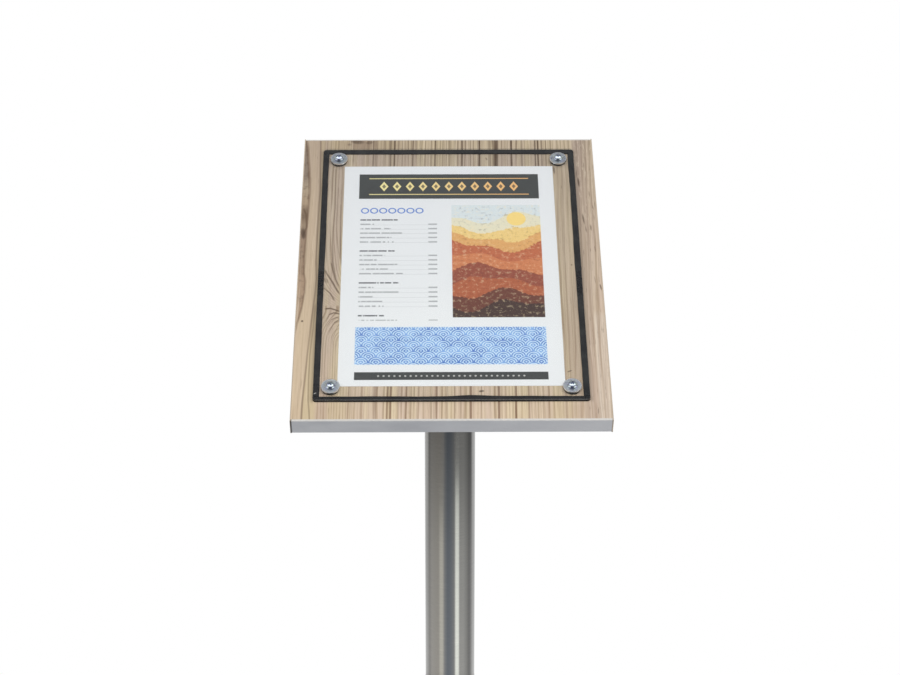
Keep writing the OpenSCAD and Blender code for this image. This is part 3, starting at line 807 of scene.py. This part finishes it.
def print_dots(g, u, v):
    """Row of dots on the dark foot."""
    across = (g.math("FRACT", u / DOT_PITCH) - 0.5) * DOT_PITCH
    up = v - FOOT_MIDDLE
    return g.rise(across * across + up * up, 1.3, 0.7) * print_rect(g, u, v, -70, 70, -140, -132)


def print_chain(g, u, v):
    """Heading: a chain of rings."""
    across = (g.math("FRACT", (u - COLUMN_LEFT) / CHAIN_PITCH) - 0.5) * CHAIN_PITCH
    reach = g.length(across, v - CHAIN_V)
    ring = g.rise(g.size(reach - LINK_R), 0.9, 0.5)
    return ring * print_rect(g, u, v, COLUMN_LEFT, COLUMN_LEFT + CHAIN_W, 78, 90)


def print_list(g, u, v):
    """Rows of grey bars of uneven length, each with a short bar at its right."""
    row = (LIST_TOP - v) / LIST_PITCH
    index = g.math("FLOOR", row)
    inside = g.math("FRACT", row)
    reach = COLUMN_LEFT + 14 + g.draw(index + 3) * 30
    words = g.rise(g.noise(u * 0.42, index * 7.3, 1, 1), 0.36, 0.44)
    bar = g.rise(g.size(inside - 0.5), 0.19, 0.11)
    first = g.rise(u, reach, reach - 0.8) * words
    price = print_rect(g, u, v, COLUMN_RIGHT - 9, COLUMN_RIGHT, LIST_LOW, LIST_TOP)
    block = print_rect(g, u, v, COLUMN_LEFT, COLUMN_RIGHT, LIST_LOW, LIST_TOP)
    group = g.math("MODULO", index, 7)
    kept = g.rise(group, 5.6, 5.4)
    heading = g.rise(group, 0.6, 0.4)
    shown = block * kept * bar * g.most(first, price * (1 - heading))
    leader = block * kept * (1 - heading) * g.rise(g.size(inside - 0.64), 0.05, 0.02) * 0.28
    return g.most(shown * g.spread(heading, 0, 1, 0.55, 0.95), leader)


def print_dunes(g, u, v):
    """Rolling bands from cream to brown, with a pale disc above them."""
    t = (v - PANEL_LOW) / (PANEL_HIGH - PANEL_LOW)
    swell = g.math("SINE", u * 0.062 + t * 7) * 0.04 + g.math("SINE", u * 0.131 - t * 11) * 0.018
    speck = g.noise(u * 0.24, v * 0.24, 3, 4, 0.7) - 0.5
    bands = g.ramp(t + swell + speck * 0.05, [(place, tone(*rgb)) for place, rgb in DUNES], "CONSTANT")
    shade = g.mix(g.rise(speck, 0.02, 0.16) * 0.35, bands, tone(244, 220, 178))
    shade = g.mix(g.rise(speck, -0.04, -0.18) * 0.4, shade, tone(92, 58, 50))
    disc = g.rise(g.length(u - DISC_U, v - DISC_V), DISC_R + 0.3, DISC_R - 0.3)
    return g.mix(disc * 0.9, shade, tone(247, 214, 122))


def print_scallops(g, u, v):
    """Rows of blue scallops."""
    row = v / (SCALLOP_PITCH * 0.5)
    shift = g.math("PINGPONG", g.math("FLOOR", row), 1) * 0.5
    across = g.math("FRACT", u / SCALLOP_PITCH + shift) - 0.5
    reach = g.length(across, g.math("FRACT", row) * 0.5) * 2
    arcs = g.math("FRACT", reach * 3)
    tint = g.noise(u * 0.07, v * 0.09, 2, 3, 0.6)
    pale = g.mix(tint, tone(186, 219, 243), tone(226, 240, 248))
    deep = g.mix(g.rise(tint, 0.4, 0.6), tone(72, 118, 196), tone(128, 172, 226))
    return g.mix(g.rise(arcs, 0.35, 0.62), pale, deep)


def printed_sheet():
    """White sheet in a clear pouch with a generic print, without any lettering."""
    g = new_graph("printed_sheet")
    u, v, _ = g.board_place_mm()
    cloud = g.noise(u * 0.009, v * 0.007, 1)
    # Painted shade: the paper greys towards the top of the sheet
    white = g.mix(g.rise(v, -150, 150), tone(237, 238, 238), tone(229, 230, 232))
    white = g.mix(g.spread(cloud, 0.35, 0.65, 0, 0.35), white, tone(226, 228, 230))
    band = print_rect(g, u, v, -PRINT_HALF_W, PRINT_HALF_W, BAND_LOW, BAND_HIGH)
    foot = print_rect(g, u, v, -PRINT_HALF_W, PRINT_HALF_W, FOOT_LOW, FOOT_HIGH)
    panel = print_rect(g, u, v, PANEL_LEFT, PANEL_RIGHT, PANEL_LOW, PANEL_HIGH)
    waves = print_rect(g, u, v, -PRINT_HALF_W, PRINT_HALF_W, WAVES_LOW, WAVES_HIGH)
    gilt = g.mix(g.rise(u, -80, 80), tone(238, 226, 160), tone(240, 186, 120))
    speck = g.noise(u * 1.8, v * 1.8, 2, 2)
    colour = g.mix(g.most(band, foot), white, tone(66, 68, 67))
    colour = g.mix(print_gold(g, u, v), colour, gilt)
    colour = g.mix(print_dots(g, u, v), colour, tone(190, 190, 186))
    colour = g.mix(print_chain(g, u, v), colour, tone(104, 138, 206))
    colour = g.mix(print_list(g, u, v), colour, tone(92, 94, 98))
    colour = g.mix(panel, colour, print_dunes(g, u, v))
    colour = g.mix(waves, colour, print_scallops(g, u, v))
    colour = g.mix(g.vary(speck, 0, 0.05), colour, tone(150, 152, 155))
    return g.surface(colour, g.vary(cloud, 0.42, 0.52), g.bump(cloud, 0.4 * MM, 0.5), specular=0.35)


def dress_all(black):
    """Give every CAD node that stays in view or inside its finish."""
    plate, plain_zinc = brushed_plate("stainless_plate"), zinc_steel()
    heads, wood_band = zinc_heads(), wood_edging()
    finishes = {
        "base_plate": plate, "post_tube": brushed_tube(), "foot_plug": plate,
        "head_plate": brushed_plate("stainless_head", board=True), "head_weld": weld_bead(),
        "base_pads": black, "spacer_washers": black,
        "post_bolt": plain_zinc, "board_screws": plain_zinc, "cover_washers": zinc_washers(),
        "cover_screw_top_left": heads, "cover_screw_top_right": heads,
        "cover_screw_bottom_left": heads, "cover_screw_bottom_right": heads,
        "panel_core": chipboard(), "face_laminate": wood_decor(), "back_laminate": backing_laminate(),
        "edge_band_front": edging("edging_front", joint=0.9), "edge_band_back": edging("edging_back"),
        "edge_band_left": wood_band, "edge_band_right": wood_band,
        "menu_sheet": printed_sheet(), "threaded_inserts": insert_brass(), "clear_cover": clear_acrylic(),
    }
    for node, material in finishes.items():
        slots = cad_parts[node].data.materials
        slots.clear()
        slots.append(material)


def add_object(name, data):
    made = bpy.data.objects.new(name, data)
    bpy.context.scene.collection.objects.link(made)
    return made


def add_mesh(name, mesh, material):
    """Object from a finished bmesh."""
    data = bpy.data.meshes.new(name)
    mesh.to_mesh(data)
    mesh.free()
    data.materials.append(material)
    return add_object(name, data)


# Seal: four strips cut by hand, so that their inner edges waver a little

STRIP_STEP = 2 * MM
SEAL_ARRIS = 0.45 * MM
SEAL_WAVER = 0.28 * MM
# Where the bottom strip bulges inwards: middle, half width and height
SEAL_BULGE = (20 * MM, 18 * MM, 1.4 * MM)
# Pale scuff on the left strip, in millimetres as in GRAIN_MARKS
SEAL_NICK = (-125, -158, 1.7, 0.5, 28, 0.9)


def on_board(u, v, n):
    """Point at a place on the board, in the part's frame."""
    return BOARD_CENTRE + Matrix.Rotation(BOARD_TILT, 3, "X") @ Vector((u, v, n))


def waver(s, seed):
    """Small uneven offset along a strip, between -1 and 1."""
    return (0.5 * math.sin(41 * s + seed) + 0.3 * math.sin(97 * s + 2.3 * seed)
            + 0.2 * math.sin(211 * s + 4.1 * seed))


def seal_section(width, edge_in):
    """Outline of a strip, from its inner edge outwards, with soft arrises."""
    soft, near, top = SEAL_ARRIS, 0.3 * SEAL_ARRIS, SEAL_H
    return [
        (edge_in, 0), (edge_in, top - soft), (edge_in + near, top - near), (edge_in + soft, top),
        (width / 2, top),
        (width - soft, top), (width - near, top - near), (width, top - soft), (width, 0),
    ]


def strip_stations(length, ends_round):
    """Places along a strip, closer together round the cover's corners."""
    count = round(length / STRIP_STEP)
    stations = [(i / count - 0.5) * length for i in range(count + 1)]
    if not ends_round:
        return stations
    for degrees in range(0, 90, 15):
        near = length / 2 - COVER_ROUND * (1 - math.cos(math.radians(degrees)))
        stations += [near, -near]
    return sorted(set(round(s, 6) for s in stations))


def seal_strip(name, length, place, seed, ends_round, bulge, material):
    """Strip from end to end; place(s, t, n) puts a point of it on the board."""
    mesh = bmesh.new()
    loops = []
    for s in strip_stations(length, ends_round):
        inner = SEAL_WAVER * (1 + waver(s, seed))
        if bulge:
            centre, half, height = bulge
            inner -= height * math.exp(-((s - centre) / half) ** 2)
        width = SEAL_W
        past = abs(s) - (length / 2 - COVER_ROUND)
        if ends_round and past > 0:
            width -= COVER_ROUND - math.sqrt(max(COVER_ROUND ** 2 - past ** 2, 0))
        loops.append([mesh.verts.new(place(s, t, n)) for t, n in seal_section(width, inner)])
    for one, two in zip(loops, loops[1:]):
        for k in range(len(one)):
            nxt = (k + 1) % len(one)
            mesh.faces.new((one[k], one[nxt], two[nxt], two[k]))
    mesh.faces.new(loops[0])
    mesh.faces.new(loops[-1])
    bmesh.ops.recalc_face_normals(mesh, faces=mesh.faces)
    return add_mesh(name, mesh, material)


def lay_seal(black):
    """Strips the full width of the cover at its top and bottom, and two between them."""
    nicked = rubber("black_rubber_nicked", nick=SEAL_NICK)
    half_w = COVER_W / 2 - SEAL_W
    half_h = COVER_H / 2 - SEAL_W
    strips = {
        "seal_top": (COVER_W, lambda s, t, n: on_board(s, COVER_RISE + half_h + t, n), None, black),
        "seal_bottom": (COVER_W, lambda s, t, n: on_board(s, COVER_RISE - half_h - t, n), SEAL_BULGE, black),
        "seal_left": (2 * half_h, lambda s, t, n: on_board(-half_w - t, s + COVER_RISE, n), None, nicked),
        "seal_right": (2 * half_h, lambda s, t, n: on_board(half_w + t, s + COVER_RISE, n), None, black),
    }
    for seed, (node, (length, place, bulge, material)) in enumerate(strips.items(), 1):
        name = node.replace("seal", "seal_strip")
        piece = seal_strip(name, length, place, seed, length == COVER_W, bulge, material)
        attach(piece, "stand")
        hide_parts(node)


# Small chamfers that real edges have, by node

CHAMFER_ANGLE = math.radians(35)
CHAMFERS = {"clear_cover": 0.3 * MM, "cover_washers": 0.35 * MM, "head_plate": 0.5 * MM}


def soften_edges():
    for node, width in CHAMFERS.items():
        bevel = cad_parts[node].modifiers.new("arris", "BEVEL")
        bevel.width = width
        bevel.segments = 2
        bevel.limit_method = "ANGLE"
        bevel.angle_limit = CHAMFER_ANGLE
        bevel.harden_normals = False


# Studio

FLOOR_R = 1.38
FLOOR_NEAR, FLOOR_FAR = 0.55, 1.2
FLOOR_BELOW_LEVEL = 0.6
AMBIENT = (0.62, 0.62, 0.625, 1)
DEGREES = 180 / math.pi

# What shiny parts mirror, by bearing in degrees: brightness, then red and blue against green
ROOM = (
    (-180, 1, 1, 1), (-152, 0.62, 1, 1), (-131, 0.55, 1, 0.99), (-112, 0.38, 1.02, 0.97),
    (-96, 0.49, 1.03, 0.95), (-70, 0.47, 1.04, 0.93), (-52, 0.46, 1.05, 0.92), (-32, 0.45, 1.02, 0.96),
    (-23, 0.32, 0.96, 1.05), (-12, 0.24, 0.9, 1.14), (3, 0.26, 0.92, 1.12), (15, 0.32, 0.96, 1.04),
    (24, 0.42, 1, 0.98), (50, 0.49, 1, 0.97), (66, 0.49, 1, 0.97), (78, 0.41, 1, 0.98),
    (88, 0.35, 1, 0.97), (97, 0.27, 1, 1), (108, 0.28, 1, 1), (119, 0.43, 1, 1),
    (130, 0.62, 1, 1), (152, 0.66, 1, 1), (180, 1, 1, 1),
)
# Its brightness from straight down (-1) to straight up (1)
ROOM_LEVELS = (
    (-1, 1.1), (-0.44, 1.12), (-0.41, 1), (-0.39, 0.92), (-0.375, 0.78), (-0.36, 0.62),
    (-0.335, 0.42), (-0.15, 0.5), (0, 0.9), (1, 1.1),
)
WARM_STRIP = (0.72, 0.7, 0.63, 1)
BRIGHT_STRIP = (1.22, 1.25, 1.17, 1)
# What stands in it above level
CEILING = (0.24, 0.245, 0.26, 1)
DARK_FIGURE = (0.045, 0.048, 0.085, 1)
LIGHT_WALLS = (1.15, 1.17, 1.22, 1)
WINDOW = (1.6, 1.65, 1.74, 1)

# Area lamps that face the board: place, size and power
LAMPS = {
    "key": ((0.3, -1.35, 2.5), (1.6, 1), 13.3),
    "top": ((0, -1.2, 2.85), (2.6, 1), 13.6),
}

# Camera, as fitted to the sheet, the board and the post in the photograph
CAMERA_PLACE = (-0.0208, -2.0093, 1.6541)
CAMERA_PITCH = math.radians(72.82)
CAMERA_TURN = math.radians(-0.594)
SENSOR_W = 36
LENS = 86.26


def room(g, turn, level):
    """Dim middle with a bright strip right of it and a warm one left."""
    base = g.ramp(turn / 360 + 0.5, [
        (degrees / 360 + 0.5, (c * red, c, c * blue, 1)) for degrees, c, red, blue in ROOM])
    above = g.rise(level, -0.15, 0)
    warm = g.band(turn, -58, -45, -38, -27) * g.most(g.rise(level, -0.36, -0.384), above)
    strip = g.band(turn, 19, 29, 38, 47) * g.most(g.rise(level, -0.353, -0.366), above)
    colour = g.mix(warm, base, WARM_STRIP)
    colour = g.mix(strip, colour, BRIGHT_STRIP)
    side = g.rise(g.size(turn), 106, 124)
    bright = g.most(g.profile(level, ROOM_LEVELS), side * 0.92)
    return g.mix(1, colour, bright, "MULTIPLY")


def ray_kinds(g):
    """1 for rays that look straight or through clear things, and 1 for mirrored ones."""
    kinds = ("Is Camera Ray", "Is Transmission Ray", "Is Glossy Ray")
    camera, through, mirrored = g.outputs(g.node("LightPath"), *kinds)
    return g.most(camera, through), mirrored


def build_world():
    """Plain white as seen, an even grey light, and the room for what is mirrored."""
    world = bpy.data.worlds.new("studio")
    bpy.context.scene.world = world
    g = Graph(world)
    seen, mirrored = ray_kinds(g)
    x, y, z = g.parts(g.node("TexCoord", output="Generated"))
    turn = bearing(g, x, y) * DEGREES
    figure = g.rise(g.size(turn + 2), 42, 28) * g.band(z, -0.05, 0.01, 0.5, 0.58)
    walls = g.rise(g.size(g.size(turn) - 60), 24, 14) * g.band(z, -0.05, 0.01, 0.3, 0.42)
    window = g.rise(g.size(turn), 100, 84) * g.band(z, 0.62, 0.7, 0.96, 0.988)
    mirror_view = g.mix(g.rise(z, 0.4, 0.5), room(g, turn, z), CEILING)
    mirror_view = g.mix(figure * 0.95, mirror_view, DARK_FIGURE)
    mirror_view = g.mix(walls * 0.9, mirror_view, LIGHT_WALLS)
    mirror_view = g.mix(window, mirror_view, WINDOW)
    light = g.mix(mirrored, AMBIENT, mirror_view)
    g.finish(g.node("Background", {0: g.mix(seen, light, WHITE), 1: 1}), "World")


def build_floor():
    """Pale disc that keeps the shadow, runs out to white and mirrors as the room does."""
    g = new_graph("pale_floor")
    seen, mirrored = ray_kinds(g)
    x, y, z = g.part_place()
    reach = g.length(x, y)
    far = g.rise(reach, FLOOR_NEAR, FLOOR_FAR)
    cloud = g.noise(x * 5, y * 5, 1)
    lit = g.principled(g.mix(cloud, (0.9, 0.9, 0.9, 1), (0.93, 0.93, 0.93, 1)), 0.9)
    white = g.node("Emission", {0: WHITE, 1: 1})
    open_floor = g.node("MixShader", {0: seen * (far * 0.75 + 0.25), 1: lit, 2: white})
    dimmed = g.rise(reach, 0.2, FLOOR_R) * 0.56
    below = room(g, bearing(g, x, y) * DEGREES, z - FLOOR_BELOW_LEVEL)
    mirror_view = g.node("Emission", {0: below, 1: 1 - dimmed})
    g.finish(g.node("MixShader", {0: mirrored * 0.85, 1: open_floor, 2: mirror_view}))
    mesh = bmesh.new()
    bmesh.ops.create_circle(mesh, cap_ends=True, segments=96, radius=FLOOR_R)
    floor = add_mesh("floor", mesh, g.owner)


def build_lamp(name, place, size, power):
    data = bpy.data.lights.new(name, "AREA")
    data.shape = "RECTANGLE"
    data.size, data.size_y = size
    data.energy = power
    lamp = add_object(name, data)
    lamp.location = place
    lamp.rotation_euler = (BOARD_CENTRE - Vector(place)).to_track_quat("-Z", "Y").to_euler()
    lamp.visible_camera = False
    lamp.visible_glossy = False


def build_camera():
    data = bpy.data.cameras.new("camera")
    data.sensor_width = SENSOR_W
    data.lens = LENS
    camera = add_object("camera", data)
    camera.location = CAMERA_PLACE
    camera.rotation_euler = (CAMERA_PITCH, 0, CAMERA_TURN)
    bpy.context.scene.camera = camera


black_rubber = rubber("black_rubber")
dress_all(black_rubber)
lay_seal(black_rubber)
soften_edges()
build_world()
build_floor()
for lamp_name, lamp_setting in LAMPS.items():
    build_lamp(lamp_name, *lamp_setting)
build_camera()
bpy.context.scene.view_settings.view_transform = "Standard"
